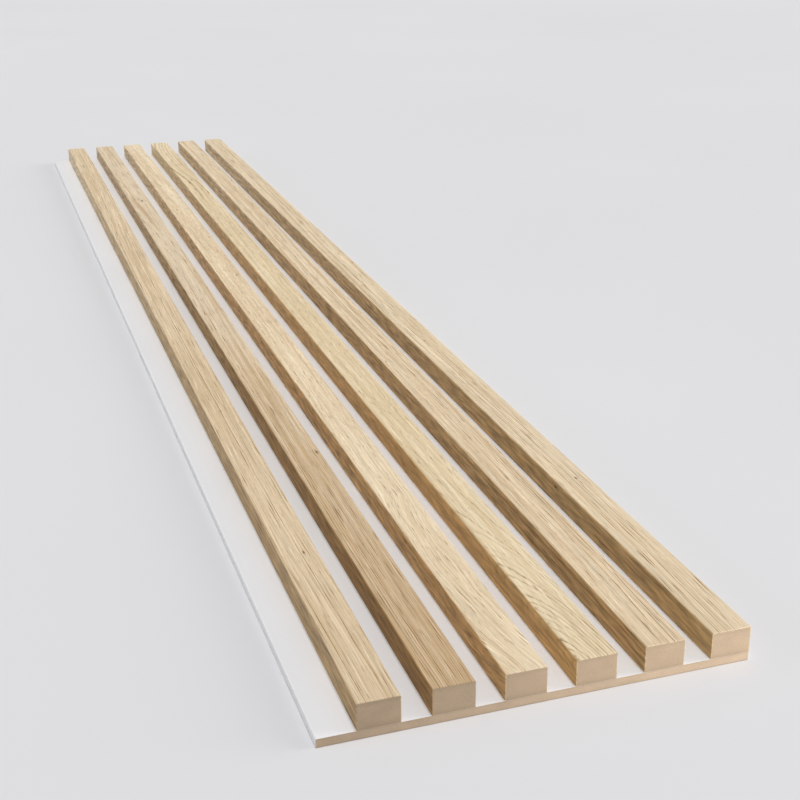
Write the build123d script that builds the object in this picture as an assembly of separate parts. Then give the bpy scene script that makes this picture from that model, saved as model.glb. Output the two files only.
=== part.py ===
from build123d import *
import os

# Slat wall panel: slats of MDF wrapped in oak veneer, glued side by side on a white-faced board.
# X runs across the slats, Y along them and Z out from the wall. The panel lies on its back face,
# which is on Z = 0, and the origin is at the middle of that face.

# Driving dimensions, in millimetres
PANEL_LENGTH = 1800.0
SLAT_COUNT = 6
SLAT_WIDTH = 29.0  # over the veneer
SLAT_GAP = 20.0
LEFT_MARGIN = 26.0  # bare board beside the first slat; the last slat is flush with the board
SLAT_CORE_HEIGHT = 19.0
SLAT_CORE_EDGE_RADIUS = 0.6  # the upper long edges, which the veneer folds over
VENEER_THICKNESS = 0.6
BOARD_THICKNESS = 6.0
BOARD_EDGE_RADIUS = 0.5  # the upper long edges, which the white film folds over
FILM_THICKNESS = 0.3

# Sizes and places that follow from them
panel_width = LEFT_MARGIN + SLAT_COUNT * SLAT_WIDTH + (SLAT_COUNT - 1) * SLAT_GAP
slat_pitch = SLAT_WIDTH + SLAT_GAP
first_slat_x = -panel_width / 2 + LEFT_MARGIN + SLAT_WIDTH / 2
white_face_z = BOARD_THICKNESS + FILM_THICKNESS


def rounded_bar_profile(width, height, radius):
    """A rectangle that stands on the X axis, with its two upper corners rounded."""
    block = Rectangle(width, height, align=(Align.CENTER, Align.MIN))
    upper_corners = block.vertices().group_by(Axis.Y)[-1]
    return fillet(upper_corners, radius)


def full_length(profile):
    """The profile, drawn in X and Z, run along the whole panel."""
    return extrude(Plane.XZ * profile, PANEL_LENGTH / 2, both=True)


def wrapped_bar(width, core_height, core_radius, skin):
    """A bar's core and the skin folded over its top and long sides, as two solids that seat face to face.

    The width is over the skin. The underside and the two cut ends of the core are bare."""
    core = rounded_bar_profile(width - 2 * skin, core_height, core_radius)
    outline = rounded_bar_profile(width, core_height + skin, core_radius + skin)
    return full_length(core), full_length(outline - core)


def backing():
    """The board that carries the slats, and the white film on its face and long edges."""
    board, film = wrapped_bar(panel_width, BOARD_THICKNESS, BOARD_EDGE_RADIUS, FILM_THICKNESS)
    return {"backing_board": board, "white_film": film}


def slat(number):
    """One slat, counted from the margin: its core and its veneer, seated on the white face."""
    core, veneer = wrapped_bar(SLAT_WIDTH, SLAT_CORE_HEIGHT, SLAT_CORE_EDGE_RADIUS, VENEER_THICKNESS)
    seat = Pos(first_slat_x + (number - 1) * slat_pitch, 0, white_face_z)
    return {f"slat_core_{number}": seat * core, f"slat_veneer_{number}": seat * veneer}


nodes = backing()
for number in range(1, SLAT_COUNT + 1):
    nodes.update(slat(number))

os.makedirs("parts", exist_ok=True)
for name, solid in nodes.items():
    export_step(solid, f"parts/{name}.step")
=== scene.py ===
"""The looks of the slat wall panel: slats of MDF in folded oak veneer, on a white-faced board.

Places and sizes are in metres, in the model's frame: X across the slats, Y along them and Z up, away
from the wall. The grain of each veneer is drawn in millimetres on the strip as it lies unrolled:
u runs across the strip, with 0 in the middle of the slat's top, and v runs along it from the near end."""
import math
from dataclasses import dataclass

import bpy
from mathutils import Matrix, Vector


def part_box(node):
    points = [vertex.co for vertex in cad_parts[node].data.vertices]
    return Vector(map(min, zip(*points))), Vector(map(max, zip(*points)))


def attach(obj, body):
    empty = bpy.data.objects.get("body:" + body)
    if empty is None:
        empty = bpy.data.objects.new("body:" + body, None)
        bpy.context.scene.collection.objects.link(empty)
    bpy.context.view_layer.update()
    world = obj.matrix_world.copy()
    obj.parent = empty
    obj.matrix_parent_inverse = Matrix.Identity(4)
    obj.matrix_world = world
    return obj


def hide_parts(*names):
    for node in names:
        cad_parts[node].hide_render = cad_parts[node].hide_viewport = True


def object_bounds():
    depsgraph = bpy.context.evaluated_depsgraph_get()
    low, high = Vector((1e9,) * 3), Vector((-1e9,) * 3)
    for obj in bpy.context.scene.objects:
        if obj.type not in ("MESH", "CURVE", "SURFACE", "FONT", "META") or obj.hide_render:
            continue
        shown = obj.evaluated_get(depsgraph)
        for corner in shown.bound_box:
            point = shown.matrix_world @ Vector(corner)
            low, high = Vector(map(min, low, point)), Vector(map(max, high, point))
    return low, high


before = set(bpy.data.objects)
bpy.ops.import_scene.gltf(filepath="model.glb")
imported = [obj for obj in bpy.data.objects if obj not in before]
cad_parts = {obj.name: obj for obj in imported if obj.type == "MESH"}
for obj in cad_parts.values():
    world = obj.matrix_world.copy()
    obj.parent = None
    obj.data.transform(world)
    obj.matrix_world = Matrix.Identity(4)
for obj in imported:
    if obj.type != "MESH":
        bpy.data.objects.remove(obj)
cad_low, cad_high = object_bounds()

MM = 0.001

# Mesh sizes
ARC_STEPS = 6
EDGE_SUPPORT = 0.4 * MM  # a row of points beside each rounded edge, which keeps the flat faces flat
END_EASE = 0.15 * MM  # the sawn ends' outer edges, broken by sanding
BOARD_EDGE_RADIUS = 0.5 * MM
CORE_EDGE_RADIUS = 0.6 * MM
SHARP_ANGLE = math.radians(35.0)  # faces that meet at less are shaded as one
SKIN_LANES = 4  # how many lanes a veneer's texture is cut into

# The camera, fitted to the photograph's corners
CAMERA_PLACE = Vector((-311.6, -1567.9, 501.6)) * MM
CAMERA_YAW = math.radians(18.05)  # to the right of the slats' direction
CAMERA_DIP = math.radians(21.82)
CAMERA_ROLL = math.radians(-0.56)
CAMERA_LENS = 60.91
SENSOR_WIDTH = 36.0
CAMERA_CLIP = 0.01


@dataclass
class Knot:
    """A pin knot on the unrolled veneer: its middle and half its size, in millimetres.

    darkness runs from 0 to 1. bend is how far the grain swerves round it, as a share of its width."""
    u: float
    v: float
    width: float
    length: float
    darkness: float = 1.0
    bend: float = 1.0


@dataclass
class Streak:
    """A long mark along the grain: its middle and half its size, in millimetres.

    A negative darkness makes it pale."""
    u: float
    v: float
    width: float
    length: float
    darkness: float


@dataclass
class Strands:
    """Noise drawn out along the grain, in blotches of about this width and length, in millimetres.

    Without a length they are as long as the figure's dashes. layer keeps one kind's noise apart from
    another's. A mark begins where the noise is at start, and is full where it is at end."""
    width: float
    length: float | None
    layer: int
    detail: float = 2.0
    start: float = 0.0
    end: float = 0.0


@dataclass
class Figure:
    """How the grain runs on one slat's veneer, in millimetres.

    The rings are about ring apart, round a line that stands heart to the side of the strip's middle and
    depth below its face. drift is how far the grain has moved sideways, wave how far it swings to and fro,
    and wave_length how quickly. rows says how clear the rings are, uneven how much clearer a few of them are
    and pore how dark the small pores are. dash is how many dashes lie between the rings, dash_length how
    long they are and cream how clear the pale streaks are. shade says whether the tone is the colour pale,
    at 0, or mid, at 1. side is a filter for the folded sides, and smudge is how cloudy they are. depth,
    drift, wave, rows, dash and shade are numbers, or points (v, number) of a curve along the strip. seed
    keeps one slat's noise apart from another's."""
    seed: float
    ring: float
    heart: float
    drift: tuple
    pale: tuple
    mid: tuple
    # side is the filter of painted shade for the folded sides
    side: tuple
    pore: float = 0.8
    depth: object = 12.0
    wave: object = 3.0
    wave_length: float = 190.0
    rows: object = 1.0
    uneven: float = 2.0
    dash: object = 0.95
    dash_length: float = 80.0
    cream: float = 0.8
    smudge: float = 1.6
    # The default shade falls towards the far end: painted sheen that pales the far tops
    shade: object = ((0, 0.45), (1400, 0.45), (1800, 0.1))
    knots: tuple = ()
    streaks: tuple = ()


class Field:
    """A number that varies over a surface: a node's output, with arithmetic that adds further nodes."""

    def __init__(self, graph, socket):
        self.graph = graph
        self.socket = socket

    def __add__(self, other):
        return self.graph.math("ADD", self, other)

    def __sub__(self, other):
        return self.graph.math("SUBTRACT", self, other)

    def __rsub__(self, other):
        return self.graph.math("SUBTRACT", other, self)

    def __mul__(self, other):
        return self.graph.math("MULTIPLY", self, other)

    def __truediv__(self, other):
        return self.graph.math("DIVIDE", self, other)

    def __neg__(self):
        return self * -1.0

    __radd__ = __add__
    __rmul__ = __mul__

    def apply(self, operation, *others):
        """A function of the Math node, such as SQRT or FLOOR."""
        return self.graph.math(operation, self, *others)

    def step(self, start, end):
        """0 before start and 1 after end, with a smooth rise between. A start above the end gives a fall."""
        rising = start < end
        low, high = (start, end) if rising else (end, start)
        inputs = {"Value": self, "From Min": low, "From Max": high}
        inputs.update({"To Min": 0.0, "To Max": 1.0} if rising else {"To Min": 1.0, "To Max": 0.0})
        return self.graph.field("ShaderNodeMapRange", inputs, interpolation_type="SMOOTHSTEP")


class Graph:
    """The nodes of a new material or world, added by short calls.

    An input takes a number, a tuple, a Field or a socket."""

    def __init__(self, owner):
        owner.use_nodes = True
        self.owner = owner
        self.nodes = owner.node_tree.nodes
        self.links = owner.node_tree.links

    def put(self, socket, value):
        value = value.socket if isinstance(value, Field) else value
        if isinstance(value, bpy.types.NodeSocket):
            self.links.new(value, socket)
        else:
            socket.default_value = value

    def node(self, kind, inputs, **settings):
        made = self.nodes.new(kind)
        for name, value in settings.items():
            setattr(made, name, value)
        for key, value in inputs.items():
            self.put(made.inputs[key], value)
        return made

    def field(self, kind, inputs, **settings):
        return Field(self, self.node(kind, inputs, **settings).outputs[0])

    def math(self, operation, *values):
        return self.field("ShaderNodeMath", dict(enumerate(values)), operation=operation)

    def vector(self, x, y, z):
        return self.node("ShaderNodeCombineXYZ", {"X": x, "Y": y, "Z": z}).outputs[0]

    def parts(self, vector):
        split = self.node("ShaderNodeSeparateXYZ", {"Vector": vector})
        return [Field(self, socket) for socket in split.outputs]

    def noise(self, vector, detail=2.0, roughness=0.5):
        """Soft noise about 0, mostly between -0.3 and 0.3, whose blotches are about 1 wide."""
        inputs = {"Vector": vector, "Scale": 1.0, "Detail": detail, "Roughness": roughness}
        return self.field("ShaderNodeTexNoise", inputs, noise_dimensions="3D") - 0.5

    def random(self, number):
        """A random number from 0 to 1 for each whole number."""
        return self.field("ShaderNodeTexWhiteNoise", {"W": number}, noise_dimensions="1D")

    def along(self, place, span, profile):
        """A profile's height at a place from 0 to span.

        The profile is a plain number, or the points of a smooth curve."""
        if isinstance(profile, float):
            return profile
        heights = [height for _, height in profile]
        low = min(heights)
        rise = max(heights) - low
        made = self.node("ShaderNodeFloatCurve", {"Factor": 1.0, "Value": place / span})
        handles = made.mapping.curves[0].points
        while len(handles) < len(profile):
            handles.new(0.5, 0.5)
        for handle, (where, height) in zip(handles, profile):
            handle.location = (where / span, (height - low) / rise)
        handles[0].handle_type = "VECTOR"
        handles[-1].handle_type = "VECTOR"
        made.mapping.update()
        return Field(self, made.outputs[0]) * rise + low

    def mix(self, share, first, second):
        """One colour laid over another by a share from 0 to 1."""
        made = self.node("ShaderNodeMix", {0: share, 6: first, 7: second}, data_type="RGBA")
        return made.outputs[2]

    def multiplied(self, share, colour, filter_colour):
        """A colour seen through a filter, by a share from 0 to 1."""
        inputs = {0: share, 6: colour, 7: filter_colour}
        made = self.node("ShaderNodeMix", inputs, data_type="RGBA", blend_type="MULTIPLY")
        return made.outputs[2]

    def scaled(self, colour, factor):
        """A colour made lighter or darker by a factor."""
        colour = colour[:3] if isinstance(colour, tuple) else colour
        made = self.node("ShaderNodeVectorMath", {0: colour, "Scale": factor}, operation="SCALE")
        return made.outputs[0]

    def bump(self, height, depth):
        """Relief in the surface: a height of 1 stands depth metres proud."""
        made = self.node("ShaderNodeBump", {"Height": height, "Strength": 1.0, "Distance": depth})
        return made.outputs[0]

    def finish(self, colour, roughness, normal, specular):
        """The finished material."""
        shader = self.nodes["Principled BSDF"]
        self.put(shader.inputs["Base Color"], colour)
        self.put(shader.inputs["Roughness"], roughness)
        self.put(shader.inputs["Normal"], normal)
        self.put(shader.inputs["Specular IOR Level"], specular)
        return self.owner


def new_material(name):
    return Graph(bpy.data.materials.new(name))


def rgb(red, green, blue):
    """A colour given as it looks on a screen, from 0 to 255, as the linear colour that a node takes."""
    def linear(level):
        level /= 255.0
        return level / 12.92 if level <= 0.04045 else ((level + 0.055) / 1.055) ** 2.4
    return (linear(red), linear(green), linear(blue), 1.0)


# Oak veneer, with sizes in millimetres

GRAIN_LINE = rgb(142, 108, 69)
PORE_BROWN = rgb(138, 106, 70)
STREAK_CREAM = rgb(245, 230, 202)
KNOT_BROWN = rgb(82, 64, 40)

# Painted shade: filters that darken the folded sides' colour below the tops', for the shade they lie in,
# and how much of them shows along the strip: most at the near end, none at the far end
OPEN_SIDE_SHADE = (0.63, 0.54, 0.40, 1.0)
BROWN_SIDE_SHADE = (0.64, 0.51, 0.29, 1.0)
WARM_SIDE_SHADE = (0.80, 0.62, 0.38, 1.0)
DEEP_SIDE_SHADE = (0.72, 0.60, 0.40, 1.0)
SIDE_SHADE_ALONG = ((0, 1.0), (500, 0.9), (1000, 0.65), (1300, 0.38), (1550, 0.08), (1800, 0.0))
RIGHT_PALER = 0.6  # the share of the painted shade that the right-hand sides lack
SAWN_PALER = 0.5  # the share that the sawn ends lack
SAWN_START = 0.05
SAWN_END = 0.12
FOLD_SOFTNESS = 0.8
MIDDLE_SOFTNESS = 1.0
SIDE_LINE_LOSS = 0.7  # how much fainter the rows of pores are on the sides

# Knots: how fast the grain's swerve fades round them, and where their core and halo fade, in half sizes
SWERVE_FADE_ALONG = 0.35
SWERVE_FADE_ACROSS = 0.03
CORE_START = 0.4
CORE_END = 1.1
HALO_START = 0.8
HALO_END = 2.4
CORE_SHARE = 0.85
HALO_SHARE = 0.25

# Growth rings: each starts with a row of large pores, and its early wood is darker than the rest
SWING_WIDTH = 17.0
RING_WANDER = Strands(3.5, 40.0, 1, 3.0)
RING_WANDER_SHARE = 0.5  # of a ring's width
CROWDING = 2.6  # how far the rings crowd together and spread apart, in rings
CROWDING_PACE = 0.23
FAINTEST_RING = 0.1
ROW_FULL = 0.12
ROW_FADE = 0.3
ROW_END = 0.75
EARLY_FULL = 0.2
EARLY_SHARE = 0.65  # of a ring's width
EARLY_TONE = 0.3
ROW_BREAKS = Strands(1.6, None, 10, start=-0.2, end=0.02)

# Dashes, pores, fibres and tone
DASHES = Strands(0.95, None, 7, start=0.1, end=0.24)
DASH_GATHER = 0.2  # how much likelier dashes are along a row
DASH_ROW = 0.6  # how dark a row is where no dash lies on it
PALE_STREAKS = Strands(0.95, None, 8, start=0.05, end=0.24)
PORES = Strands(0.42, 10.0, 2, 1.0, start=0.05, end=0.18)
LATE_PORES = 0.3  # how clear the pores are outside the early wood
PORE_SHARE = 0.5
FINE_FIBRES = Strands(0.7, 60.0, 3)
BROAD_FIBRES = Strands(2.4, 170.0, 4)
FIBRE_CONTRAST = 0.5
TONE_BANDS = Strands(4.5, 380.0, 5)
BAND_CLARITY = ((0, 1.9), (400, 2.1), (900, 3.6), (1800, 4.6))
CLOUD_WIDTH = 26.0
CLOUD_LENGTH = 210.0
CLOUD_LAYER = 6
SIDE_SMUDGES = Strands(3.0, 28.0, 11)
STREAK_BREAKS = Strands(0.8, 22.0, 9, start=-0.12, end=0.08)
STREAK_FAINTEST = 0.45
STREAK_CORE = 0.3  # where a streak starts to fade, in half sizes

OAK_ROUGHNESS = 0.6
DASH_ROUGHNESS = 0.12
FIBRE_ROUGHNESS = 0.1
DASH_RELIEF = 0.6
OAK_RELIEF = 0.012 * MM
OAK_SPECULAR = 0.15

FIGURES = {
    1: Figure(
        seed=11.0, ring=2.4, heart=-70.0,
        drift=((0, 0), (120, -2.5), (360, -6), (900, -4), (1400, 6), (1800, 11)),
        pale=rgb(221, 200, 169), mid=rgb(206, 182, 147), side=OPEN_SIDE_SHADE,
        wave=1.5, dash=0.8, dash_length=60.0,
        knots=(Knot(4.0, 198, 0.8, 2.6, 1.0, 0.3), Knot(-0.5, 491, 0.8, 2.4, 0.5, 0.5)),
        streaks=(
            Streak(13.0, 24, 0.5, 26, 0.6), Streak(9.6, 12, 0.7, 34, 0.8), Streak(6.2, 24, 0.6, 30, 0.7),
            Streak(8.0, 40, 0.6, 36, -0.8), Streak(4.0, 72, 0.6, 30, 0.6), Streak(-8.6, 26, 0.5, 26, 0.6),
            Streak(-10.6, 215, 0.5, 45, 0.6), Streak(-12.6, 285, 0.5, 38, 0.6),
            Streak(10.6, 310, 0.7, 60, 0.7),
        ),
    ),
    2: Figure(
        seed=23.0, ring=1.6, heart=-90.0, depth=14.0,
        drift=((0, 0), (150, -1.5), (500, 0), (1000, 4), (1400, -4), (1800, -8)),
        pale=rgb(221, 202, 174), mid=rgb(196, 168, 131), side=BROWN_SIDE_SHADE, pore=0.7,
        wave=2.2, dash_length=45.0, cream=0.4, smudge=1.8,
        rows=((0, 1.0), (260, 0.9), (480, 0.5), (1800, 0.4)),
        shade=((0, 0.85), (250, 0.8), (450, 0.55), (800, 0.3), (1200, 0.0), (1800, 0.0)),
        knots=(Knot(11.3, 371, 1.5, 4.0, 0.8, 0.6), Knot(3.6, 1358, 1.6, 5.0, 1.0, 1.2)),
    ),
    3: Figure(
        seed=37.0, ring=2.6, heart=-44.0, depth=((0, 12), (150, 16), (400, 28), (1000, 34), (1800, 30)),
        drift=((0, 0), (120, -14), (170, -15), (270, -9), (420, -6), (900, 0), (1800, -10)),
        wave=((0, 6), (240, 6), (420, 4), (1800, 4)), wave_length=75.0,
        pale=rgb(234, 216, 186), mid=rgb(219, 196, 162), side=WARM_SIDE_SHADE, pore=0.6, cream=1.0,
        dash=((0, 0.95), (110, 0.8), (240, 0.75), (420, 0.95), (1800, 0.95)), dash_length=24.0,
        rows=((0, 0.8), (110, 0.6), (220, 0.5), (400, 0.3), (1800, 0.3)), smudge=2.0,
        # The fall of shade at the far end is painted sheen that pales the far top
        shade=((0, 0.4), (300, 0.45), (600, 0.7), (1450, 0.7), (1800, 0.0)),
        knots=(Knot(3.0, 143, 3.0, 14.0, 0.0, 0.5), Knot(-19.3, 199, 1.2, 3.2, 0.7, 0.3),
               Knot(7.8, 923, 1.3, 3.4, 0.8)),
    ),
    4: Figure(
        seed=41.0, ring=2.1, heart=-19.0,
        depth=((0, 14), (60, 24), (121, 34), (260, 46), (600, 54), (1800, 56)),
        drift=((0, 0), (400, 0), (1100, 2), (1400, 5), (1640, -9), (1800, 0)), wave=1.5,
        rows=((0, 1.05), (60, 0.85), (110, 0.7), (200, 0.45), (380, 0.15),
              (1250, 0.2), (1420, 0.9), (1800, 0.7)),
        uneven=0.6, dash=((0, 0.3), (120, 0.4), (300, 0.8), (1800, 0.8)), dash_length=24.0,
        pale=rgb(231, 213, 180), mid=rgb(217, 195, 158), side=WARM_SIDE_SHADE, pore=0.5, smudge=1.3,
        # The fall of shade at the far end is painted sheen that pales the far top
        shade=((0, 0.45), (250, 0.5), (500, 0.75), (1450, 0.75), (1800, 0.2)),
        knots=(
            Knot(-2.5, 95, 0.7, 3.0, 0.5), Knot(-13.4, 5, 1.1, 2.2, 0.4, 0.6),
            Knot(-13.4, 26, 1.1, 2.4, 0.5, 0.6), Knot(-13.4, 47, 1.0, 2.2, 0.35, 0.6),
            Knot(-13.2, 68, 1.0, 2.4, 0.45, 0.6),
        ),
    ),
    5: Figure(
        seed=59.0, ring=1.8, heart=-80.0, depth=10.0,
        drift=((0, 0), (300, 3), (800, 0), (1300, 5), (1800, 2)),
        pale=rgb(228, 208, 178), mid=rgb(211, 187, 153), side=DEEP_SIDE_SHADE, smudge=1.8, dash_length=42.0,
        knots=(Knot(-10.2, 567, 0.9, 2.6, 0.5),),
        streaks=(
            Streak(10.2, 26, 1.0, 40, 0.55), Streak(12.0, 90, 0.7, 50, 0.5),
            Streak(-19.5, 150, 1.3, 240, 0.75), Streak(-28.0, 250, 1.2, 190, 0.6),
        ),
    ),
    6: Figure(
        seed=67.0, ring=2.1, heart=75.0,
        drift=((0, 0), (260, 4), (700, 0), (1300, 6), (1800, 10)),
        pale=rgb(229, 210, 180), mid=rgb(213, 191, 158), side=DEEP_SIDE_SHADE,
        pore=0.65, smudge=1.7, dash_length=45.0,
        knots=(Knot(3.5, 249, 0.9, 2.4, 1.0, 0.3), Knot(-19.2, 249, 1.1, 3.0, 1.0, 0.3),
               Knot(-1.0, 614, 0.8, 2.4, 0.5, 0.5)),
        streaks=(
            Streak(9.4, 60, 0.6, 50, 0.5), Streak(-18.0, 85, 0.9, 70, 0.6), Streak(-9.0, 34, 0.5, 32, 0.55),
            Streak(-11.6, 290, 0.5, 34, 0.55),
        ),
    ),
}


def oak(number, figure, strip_length, fold):
    """Oak veneer, with the rings, dashes, pores, fibres and knots of one slat.

    strip_length and fold, the distance from the strip's middle to its folded edges, are in millimetres."""
    g = new_material(f"oak_veneer_{number}")
    u, v, _ = g.parts(g.node("ShaderNodeUVMap", {}, uv_map=GRAIN_MAP).outputs[0])

    def along(profile):
        return g.along(v, strip_length, profile)

    # The folded sides have a softer grain, and painted shade that deepens their colour, most so on the left
    sawn = v.step(SAWN_END, SAWN_START) + v.step(strip_length - SAWN_END, strip_length - SAWN_START)
    folded = u.apply("ABSOLUTE").step(fold - FOLD_SOFTNESS, fold + FOLD_SOFTNESS)
    folded = folded * (1.0 - SAWN_PALER * sawn)
    painted_side_shade = folded * (1.0 - RIGHT_PALER * u.step(-MIDDLE_SOFTNESS, MIDDLE_SOFTNESS))

    # Where each fibre would lie if the grain ran straight
    swing = g.noise(g.vector(u / SWING_WIDTH, v / figure.wave_length, figure.seed)) * along(figure.wave)
    across = u - along(figure.drift) - swing
    knot_core = None
    knot_halo = None
    for knot in figure.knots:
        side = (u - knot.u) / knot.width
        forward = (v - knot.v) / knot.length
        fade = -(forward * forward) * SWERVE_FADE_ALONG - side * side * SWERVE_FADE_ACROSS
        near = fade.apply("EXPONENT")
        across = across - side.apply("TANH") * near * (knot.bend * knot.width)
        reach = (side * side + forward * forward).apply("SQRT")
        core = reach.step(CORE_END, CORE_START) * knot.darkness
        halo = reach.step(HALO_END, HALO_START) * knot.darkness
        knot_core = core if knot_core is None else knot_core.apply("MAXIMUM", core)
        knot_halo = halo if knot_halo is None else knot_halo.apply("MAXIMUM", halo)

    def strands(kind):
        length = kind.length or figure.dash_length
        return g.noise(g.vector(across / kind.width, v / length, figure.seed + kind.layer), kind.detail)

    def marks(kind, noise):
        """How clear the marks of a kind of noise are, from 0 to 1."""
        return noise.step(kind.start, kind.end)

    # Growth rings, cut by the face of the veneer: each starts with a row of large pores
    depth = along(figure.depth)
    from_heart = across - figure.heart
    radius = (from_heart * from_heart + depth * depth).apply("SQRT")
    radius = radius + strands(RING_WANDER) * (RING_WANDER_SHARE * figure.ring)
    ring_place = radius / figure.ring
    ring_place = ring_place + g.noise(g.vector(ring_place * CROWDING_PACE, figure.seed, 0.0)) * CROWDING
    chance = g.random(ring_place.apply("FLOOR") + figure.seed)
    clear = FAINTEST_RING + (1.0 - FAINTEST_RING) * chance.apply("POWER", figure.uneven)
    ring_tone = clear * along(figure.rows)
    into_ring = ring_place.apply("FRACT") * figure.ring
    row = into_ring.step(0.0, ROW_FULL) * into_ring.step(ROW_END, ROW_FADE)
    early = into_ring.step(0.0, EARLY_FULL) * into_ring.step(EARLY_SHARE * figure.ring, EARLY_FULL)

    # Dashes gather along the rows, with pale streaks, smaller pores and fibres between
    unbroken = marks(ROW_BREAKS, strands(ROW_BREAKS))
    line = row * ring_tone * unbroken * (1.0 - SIDE_LINE_LOSS * folded)
    dashes = marks(DASHES, strands(DASHES) + DASH_GATHER * line)
    dashes = (along(figure.dash) * dashes + DASH_ROW * line).apply("MINIMUM", 1.0)
    pale_streaks = marks(PALE_STREAKS, strands(PALE_STREAKS))
    pores = marks(PORES, strands(PORES)) * (LATE_PORES + (1.0 - LATE_PORES) * early)
    fibres = strands(FINE_FIBRES) + strands(BROAD_FIBRES)
    bands = strands(TONE_BANDS)
    clouds = g.noise(g.vector(u / CLOUD_WIDTH, v / CLOUD_LENGTH, figure.seed + CLOUD_LAYER))

    tone = along(figure.shade) + along(BAND_CLARITY) * bands + clouds + EARLY_TONE * (early * ring_tone)
    colour = g.mix(tone.step(0.0, 1.0), figure.pale, figure.mid)
    colour = g.mix(pale_streaks * figure.cream, colour, STREAK_CREAM)
    colour = g.mix(pores * (PORE_SHARE * figure.pore), colour, PORE_BROWN)
    colour = g.mix(dashes, colour, GRAIN_LINE)
    smudges = strands(SIDE_SMUDGES) * painted_side_shade
    colour = g.scaled(colour, 1.0 + FIBRE_CONTRAST * fibres + figure.smudge * smudges)
    broken = STREAK_FAINTEST + (1.0 - STREAK_FAINTEST) * marks(STREAK_BREAKS, strands(STREAK_BREAKS))
    for streak in figure.streaks:
        side = (u - streak.u) / streak.width
        forward = (v - streak.v) / streak.length
        reach = (side * side + forward * forward).apply("SQRT")
        mark = reach.step(1.0, STREAK_CORE) * broken * abs(streak.darkness)
        colour = g.mix(mark, colour, GRAIN_LINE if streak.darkness > 0 else STREAK_CREAM)
    colour = g.mix(knot_halo * HALO_SHARE, colour, PORE_BROWN)
    colour = g.mix(knot_core * CORE_SHARE, colour, KNOT_BROWN)
    # Painted shade: the folded sides seen through their filter, most at the near end and on the left
    colour = g.multiplied(painted_side_shade * along(SIDE_SHADE_ALONG), colour, figure.side)

    roughness = OAK_ROUGHNESS + DASH_ROUGHNESS * dashes + FIBRE_ROUGHNESS * fibres
    relief = fibres - DASH_RELIEF * dashes
    return g.finish(colour, roughness, g.bump(relief, OAK_RELIEF), OAK_SPECULAR)


# Boards and film, with sizes in millimetres

BOARD_FACE = rgb(208, 184, 157)
BOARD_FLECKS = rgb(168, 142, 114)
SLAT_FACE = rgb(196, 172, 145)
SLAT_FLECKS = rgb(164, 136, 108)
MDF_DUST = (0.45, 0.35)  # the size of the blotches along the sheet and through it
MDF_FIBRES = (1.8, 0.6)
MDF_CLOUDS = (14.0, 9.0)
MDF_SPECK_START = 0.16
MDF_SPECK_END = 0.3
MDF_SPECK_SHARE = 0.55
MDF_DENSE_START = 0.55  # of the way from the middle of the sheet to its faces
MDF_ROUGHNESS = 0.82
MDF_RELIEF = 0.05 * MM
MDF_SPECULAR = 0.2

FILM_WHITE = rgb(237, 237, 239)
FILM_PEEL = 2.4
FILM_CLOUDS = (60.0, 140.0)  # across the panel and along it
FILM_DUST_SHARE = 0.8
FILM_ROUGHNESS = 0.46
FILM_RELIEF = 0.01 * MM
FILM_SPECULAR = 0.4


def object_mm(g):
    """The place on the piece, in millimetres."""
    place = g.node("ShaderNodeTexCoord", {}).outputs["Object"]
    return [part * 1000.0 for part in g.parts(place)]


def mdf(name, low, high, face, flecks):
    """Raw MDF between two heights: fine pressed fibres, darker towards both faces of the sheet.

    face is its colour, and flecks is the colour of its specks."""
    g = new_material(name)
    x, y, z = object_mm(g)

    def blotches(size, *detail):
        along, through = size
        return g.noise(g.vector(x / along, y / along, z / through), *detail)

    middle = 0.5 * (low.z + high.z) / MM
    half = 0.5 * (high.z - low.z) / MM
    dense = ((z - middle).apply("ABSOLUTE") / half).step(MDF_DENSE_START, 1.0)
    dust = blotches(MDF_DUST, 3.0, 0.6)
    fibres = blotches(MDF_FIBRES)
    clouds = blotches(MDF_CLOUDS)
    specks = dust.step(MDF_SPECK_START, MDF_SPECK_END)
    colour = g.mix(specks * MDF_SPECK_SHARE, face, flecks)
    colour = g.scaled(colour, 1.0 + 0.5 * dust + 0.3 * fibres + 0.25 * clouds - 0.1 * dense)
    return g.finish(colour, MDF_ROUGHNESS, g.bump(dust + 0.6 * fibres, MDF_RELIEF), MDF_SPECULAR)


def white_film(low, high):
    """Satin white film, with the faint peel of a laminated sheet. Board dust is smeared on its sawn ends."""
    g = new_material("white_film")
    x, y, z = object_mm(g)
    peel = g.noise(g.vector(x / FILM_PEEL, y / FILM_PEEL, z / FILM_PEEL))
    across, along = FILM_CLOUDS
    clouds = g.noise(g.vector(x / across, y / along, z / across))
    near_end, far_end = low.y / MM, high.y / MM
    sawn = y.step(near_end + SAWN_END, near_end + SAWN_START)
    sawn = sawn + y.step(far_end - SAWN_END, far_end - SAWN_START)
    colour = g.mix(sawn * FILM_DUST_SHARE, FILM_WHITE, BOARD_FACE)
    colour = g.scaled(colour, 1.0 + 0.05 * clouds + 0.02 * peel)
    roughness = FILM_ROUGHNESS + 0.2 * clouds + 0.06 * peel
    return g.finish(colour, roughness, g.bump(peel, FILM_RELIEF), FILM_SPECULAR)


# Meshes

GRAIN_MAP = "Grain"
BAKE_MAP = "OFBake"

# A lane of a skin's texture: where the outer and inner faces start and how wide they are, across the lane,
# and the same for the skin's length, along it. The sawn ends lie past the length
LANE_OUTER = (0.03, 0.72)
LANE_INNER = (0.78, 0.16)
LANE_SEAM = 0.97
LANE_LENGTH = (0.01, 0.93)
LANE_END_OUTER = 0.96
LANE_END_INNER = 0.99
OVER_BAR = 0.8  # the share of the way round a bar that goes over it; the rest is its underside


def arc(centre_x, centre_z, radius, start, end):
    """Points round part of a circle, from one angle to another in degrees."""
    angles = [math.radians(start + (end - start) * step / ARC_STEPS) for step in range(ARC_STEPS + 1)]
    return [(centre_x + radius * math.cos(a), centre_z + radius * math.sin(a)) for a in angles]


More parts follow.
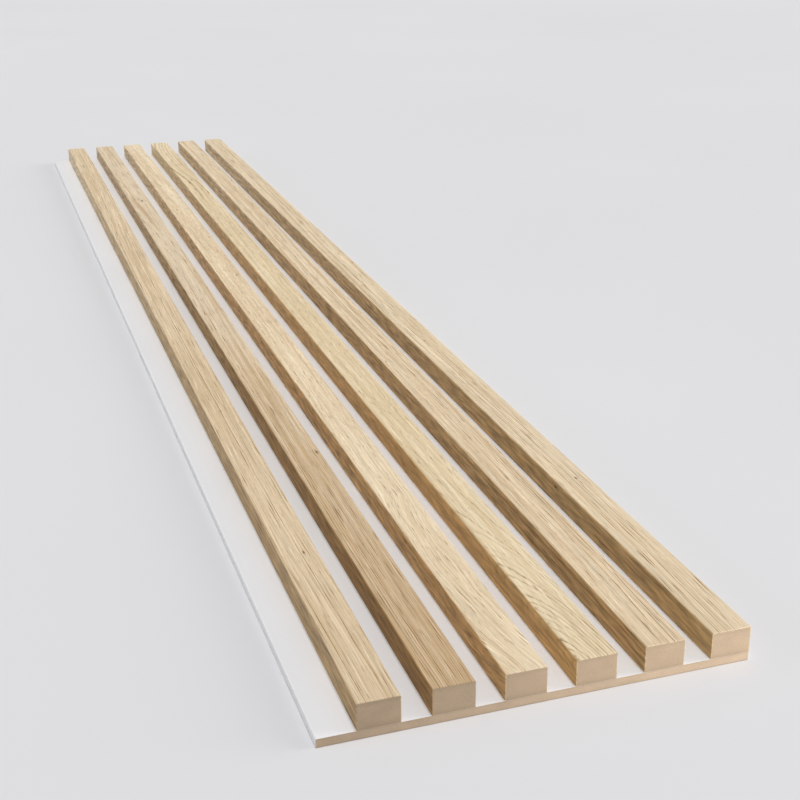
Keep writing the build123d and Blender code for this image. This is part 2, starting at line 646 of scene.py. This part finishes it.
def path_over(low, high, radius):
    """The path over a bar, from its lower left corner over its rounded top edges to its lower right one."""
    shoulder = high.z - radius
    left, right = low.x + radius, high.x - radius
    return [
        (low.x, low.z), (low.x, shoulder - EDGE_SUPPORT), *arc(left, shoulder, radius, 180, 90),
        (left + EDGE_SUPPORT, high.z), (right - EDGE_SUPPORT, high.z),
        *arc(right, shoulder, radius, 90, 0), (high.x, shoulder - EDGE_SUPPORT), (high.x, low.z),
    ]


def shares(path):
    """How far along a path each of its points is, from 0 to 1."""
    lengths = [math.dist(a, b) for a, b in zip(path, path[1:])]
    return [sum(lengths[:count]) / sum(lengths) for count in range(len(path))]


def piece_from(name, points, faces, maps, material, node):
    """A piece of the panel that stands for a node.

    maps holds each texture map's place for every face corner."""
    mesh = bpy.data.meshes.new(name)
    mesh.from_pydata(points, [], faces)
    for map_name, places in maps.items():
        layer = mesh.uv_layers.new(name=map_name)
        layer.uv.foreach_set("vector", [number for place in places for number in place])
    mesh.polygons.foreach_set("use_smooth", [True] * len(mesh.polygons))
    mesh.set_sharp_from_angle(angle=SHARP_ANGLE)
    mesh.materials.append(material)
    piece = bpy.data.objects.new(name, mesh)
    bpy.context.scene.collection.objects.link(piece)
    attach(piece, "root")
    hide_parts(node)
    return piece


def skin(name, node, core_node, core_radius, lanes, material):
    """A skin folded over a core's top and long sides, closed all round, its sawn ends' outer edges eased.

    For its texture the skin is cut into lanes of equal length, which lie side by side."""
    low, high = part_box(node)
    core_low, core_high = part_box(core_node)
    thickness = high.z - core_high.z
    inner = path_over(core_low, core_high, core_radius)
    inner = [(x, max(z, low.z)) for x, z in inner]
    outer = path_over(low, high, core_radius + thickness)
    blend = END_EASE / thickness
    eased = [(xo + (xi - xo) * blend, zo + (zi - zo) * blend) for (xo, zo), (xi, zi) in zip(outer, inner)]
    stations = [low.y, low.y + END_EASE]
    stations += [low.y + (high.y - low.y) * lane / lanes for lane in range(1, lanes)]
    stations += [high.y - END_EASE, high.y]
    count = len(outer)
    points = []
    for number, y in enumerate(stations):
        at_end = number in (0, len(stations) - 1)
        points += [(x, y, z) for x, z in (eased if at_end else outer)]
        points += [(x, y, z) for x, z in inner]

    # Where each point of the loop lies across the unrolled strip, for the grain and in a lane of the texture
    strip = shares(outer)
    width_mm = sum(math.dist(a, b) for a, b in zip(outer, outer[1:])) / MM
    grain_u = [(share - 0.5) * width_mm for share in strip]
    grain_u += grain_u[::-1] + grain_u[:1]
    lane_u = [face + width * share for face, width in (LANE_OUTER, LANE_INNER) for share in strip]
    lane_u += [LANE_SEAM]
    loop = list(range(count)) + [2 * count - 1 - i for i in range(count)] + [0]

    faces, grain, bake = [], [], []

    def add(corners, lane_v):
        faces.append([station * 2 * count + loop[i] for station, i in corners])
        for (station, i), (lane, v) in zip(corners, lane_v):
            grain.append((grain_u[i], (stations[station] - low.y) / MM))
            bake.append(((lane + lane_u[i]) / lanes, v))

    lane_length = (high.y - low.y) / lanes
    for station in range(len(stations) - 1):
        lane = min(int((stations[station] - low.y) / lane_length + 1e-6), lanes - 1)
        passed = [(y - low.y) / lane_length - lane for y in stations[station:station + 2]]
        start, end = [LANE_LENGTH[0] + LANE_LENGTH[1] * share for share in passed]
        for i in range(2 * count):
            corners = [(station, i), (station, i + 1), (station + 1, i + 1), (station + 1, i)]
            add(corners, [(lane, start), (lane, start), (lane, end), (lane, end)])

    last = len(stations) - 1
    for i in range(count - 1):
        inside = 2 * count - 1 - i
        for station, lane in ((last, lanes - 1), (0, 0)):
            corners = [(station, i), (station, i + 1), (station, inside - 1), (station, inside)]
            corners = corners if station else corners[::-1]
            places = [(lane, LANE_END_OUTER if c < count else LANE_END_INNER) for _, c in corners]
            first = len(bake)
            add(corners, places)
            bake[first:] = [((lane + lane_u[min(c, 2 * count - 1 - c)]) / lanes, v)
                            for (_, c), (lane, v) in zip(corners, places)]
    return piece_from(name, points, faces, {BAKE_MAP: bake, GRAIN_MAP: grain}, material, node)


def bar(name, node, radius, bake_side, bake_cap, material):
    """A board or slat core with rounded upper edges.

    bake_side and bake_cap place its long faces and its ends in the texture."""
    low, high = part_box(node)
    path = path_over(low, high, radius)
    count = len(path)
    stations = [low.y, high.y]
    points = [(x, y, z) for y in stations for x, z in path]
    around = [OVER_BAR * share for share in shares(path)] + [1.0]
    around = [bake_side(share) for share in around]
    faces, bake = [], []
    for i in range(count):
        faces.append([i, (i + 1) % count, count + (i + 1) % count, count + i])
        bake += [(around[i][0], around[i][1]), (around[i + 1][0], around[i + 1][1]),
                 (around[i + 1][0], around[i + 1][2]), (around[i][0], around[i][2])]
    across = [((x - low.x) / (high.x - low.x), (z - low.z) / (high.z - low.z)) for x, z in path]
    faces.append(list(range(count))[::-1])
    bake += [bake_cap(0, *place) for place in across[::-1]]
    faces.append([count + i for i in range(count)])
    bake += [bake_cap(1, *place) for place in across]
    return piece_from(name, points, faces, {BAKE_MAP: bake}, material, node)


def core_side(share):
    """A core's long faces, which the veneer and the board hide, share a thin band of the texture."""
    return 0.02 + 0.96 * share, 0.02, 0.06


def core_cap(end, across, up):
    """A core's sawn ends lie side by side above that band."""
    return 0.02 + 0.5 * end + 0.46 * across, 0.1 + 0.32 * up


def board_side(share):
    """The board's underside takes most of the texture's width, and the faces under the film the rest."""
    under = (share - OVER_BAR) / (1.0 - OVER_BAR)
    place = 0.1 * share / OVER_BAR if share <= OVER_BAR else 0.12 + 0.86 * under
    return 0.01 + place, 0.02, 0.84


def board_cap(end, across, up):
    """The board's ends lie one above the other past its underside."""
    return 0.01 + 0.98 * across, 0.87 + 0.07 * end + 0.05 * up


def build_board():
    low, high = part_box("backing_board")
    board_mdf = mdf("board_mdf", low, high, BOARD_FACE, BOARD_FLECKS)
    bar("backing_board_piece", "backing_board", BOARD_EDGE_RADIUS, board_side, board_cap,
        board_mdf)
    skin("white_film_piece", "white_film", "backing_board", BOARD_EDGE_RADIUS, 1,
         white_film(*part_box("white_film")))


def build_slats():
    core_low, core_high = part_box("slat_core_1")
    slat_mdf = mdf("slat_mdf", core_low, core_high, SLAT_FACE, SLAT_FLECKS)
    low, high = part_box("slat_veneer_1")
    strip_length = (high.y - low.y) / MM
    radius = CORE_EDGE_RADIUS + high.z - core_high.z
    fold = (0.5 * (high.x - low.x) - radius + 0.25 * math.pi * radius) / MM
    for number, figure in FIGURES.items():
        core, veneer = f"slat_core_{number}", f"slat_veneer_{number}"
        bar(f"{core}_piece", core, CORE_EDGE_RADIUS, core_side, core_cap, slat_mdf)
        skin(f"{veneer}_piece", veneer, core, CORE_EDGE_RADIUS, SKIN_LANES,
             oak(number, figure, strip_length, fold))


# Studio

# Each lamp's direction, how wide it looks in degrees, and its level. Together the lamps and the sky light
# an open flat surface at a level of about 1
KEY_FROM = (0.02, -0.05, 1.0)
KEY_SOFTNESS = 10.0
KEY_LEVEL = 0.54
LEFT_FROM = (-4.5, 0.8, 1.0)
LEFT_LEVEL = 0.16
RIGHT_FROM = (2.5, -0.45, 1.0)
RIGHT_LEVEL = 0.33
FILL_SOFTNESS = 30.0
SKY_LEVEL = 0.31
SKY_SEEN = 0.73  # what the camera and reflections see of the sky: about as pale as the floor

# A beam whose edge falls on the sawn near ends, brighter towards the right. It is aimed above the panel,
# and nearly level, so that it hardly reaches the floor
BEAM_OFFSET = Vector((0.11, 0.0, 0.37))  # from the panel's upper near right corner
BEAM_FROM = (0.25, -1.0, -0.0125)
BEAM_DISTANCE = 8.0
BEAM_WIDTH = 1.07
BEAM_LEVEL = 1.43
BEAM_LAMP_RADIUS = 0.08

FLOOR_PALE = rgb(222, 222, 224)
FLOOR_HALF = 20.0
FLOOR_GAP = 0.2 * MM  # keeps the floor out of the board's underside
FLOOR_CLOUDS = 700.0  # in millimetres
FLOOR_ROUGHNESS = 0.9
FLOOR_RELIEF = 0.01 * MM
FLOOR_SPECULAR = 0.1


def floor_material():
    """A pale matt floor with a hint of mottling."""
    g = new_material("floor")
    x, y, _ = object_mm(g)
    clouds = g.noise(g.vector(x / FLOOR_CLOUDS, y / FLOOR_CLOUDS, 0.0))
    colour = g.scaled(FLOOR_PALE, 1.0 + 0.05 * clouds)
    return g.finish(colour, FLOOR_ROUGHNESS + 0.1 * clouds, g.bump(clouds, FLOOR_RELIEF), FLOOR_SPECULAR)


def build_floor():
    corners = [(x, y, -FLOOR_GAP) for x, y in ((-1, -1), (1, -1), (1, 1), (-1, 1))]
    mesh = bpy.data.meshes.new("floor")
    mesh.from_pydata([(x * FLOOR_HALF, y * FLOOR_HALF, z) for x, y, z in corners], [], [(0, 1, 2, 3)])
    mesh.materials.append(floor_material())
    floor = bpy.data.objects.new("floor", mesh)
    bpy.context.scene.collection.objects.link(floor)


def sun(name, source, softness, level):
    """A far white lamp that shines from the direction of source.

    It lights a surface that faces it at this level. softness is how wide the lamp looks, in degrees."""
    lamp = bpy.data.lights.new(name, "SUN")
    lamp.angle = math.radians(softness)
    lamp.energy = level * math.pi
    stand = bpy.data.objects.new(name, lamp)
    stand.rotation_euler = Vector(source).to_track_quat("Z", "Y").to_euler()
    bpy.context.scene.collection.objects.link(stand)


def beam(name, target, source, distance, width, level):
    """A white lamp with a soft round beam, which lights its target from the direction of source.

    At the target the beam is this wide, and a surface that faces it is lit at this level."""
    lamp = bpy.data.lights.new(name, "SPOT")
    lamp.spot_size = 2.0 * math.atan(0.5 * width / distance)
    lamp.spot_blend = 1.0
    lamp.shadow_soft_size = BEAM_LAMP_RADIUS
    lamp.energy = level * (2.0 * math.pi * distance) ** 2
    stand = bpy.data.objects.new(name, lamp)
    towards = Vector(source).normalized()
    stand.location = target + towards * distance
    stand.rotation_euler = towards.to_track_quat("Z", "Y").to_euler()
    bpy.context.scene.collection.objects.link(stand)


def build_sky():
    """An even sky, which the camera and reflections see as a brighter one."""
    world = bpy.data.worlds.new("studio")
    g = Graph(world)
    rays = g.node("ShaderNodeLightPath", {}).outputs
    seen = [Field(g, rays[f"Is {kind} Ray"]) for kind in ("Camera", "Glossy", "Transmission")]
    seen = (seen[0] + seen[1] + seen[2]).apply("MINIMUM", 1.0)
    g.put(g.nodes["Background"].inputs["Color"], (1.0, 1.0, 1.0, 1.0))
    g.put(g.nodes["Background"].inputs["Strength"], SKY_LEVEL + (SKY_SEEN - SKY_LEVEL) * seen)
    bpy.context.scene.world = world


def build_lights():
    sun("key", KEY_FROM, KEY_SOFTNESS, KEY_LEVEL)
    sun("left", LEFT_FROM, FILL_SOFTNESS, LEFT_LEVEL)
    sun("right", RIGHT_FROM, FILL_SOFTNESS, RIGHT_LEVEL)
    near_corner = Vector((cad_high.x, cad_low.y, cad_high.z))
    beam("front", near_corner + BEAM_OFFSET, BEAM_FROM, BEAM_DISTANCE, BEAM_WIDTH, BEAM_LEVEL)
    build_sky()


def build_camera():
    lens = bpy.data.cameras.new("camera")
    lens.lens = CAMERA_LENS
    lens.sensor_width = SENSOR_WIDTH
    lens.clip_start = CAMERA_CLIP
    camera = bpy.data.objects.new("camera", lens)
    turn = Matrix.Rotation(-CAMERA_YAW, 4, "Z") @ Matrix.Rotation(math.pi / 2 - CAMERA_DIP, 4, "X")
    camera.matrix_world = Matrix.Translation(CAMERA_PLACE) @ turn @ Matrix.Rotation(CAMERA_ROLL, 4, "Z")
    bpy.context.scene.collection.objects.link(camera)
    bpy.context.scene.camera = camera


build_board()
build_slats()
build_floor()
build_lights()
build_camera()
bpy.context.scene.view_settings.view_transform = "Standard"
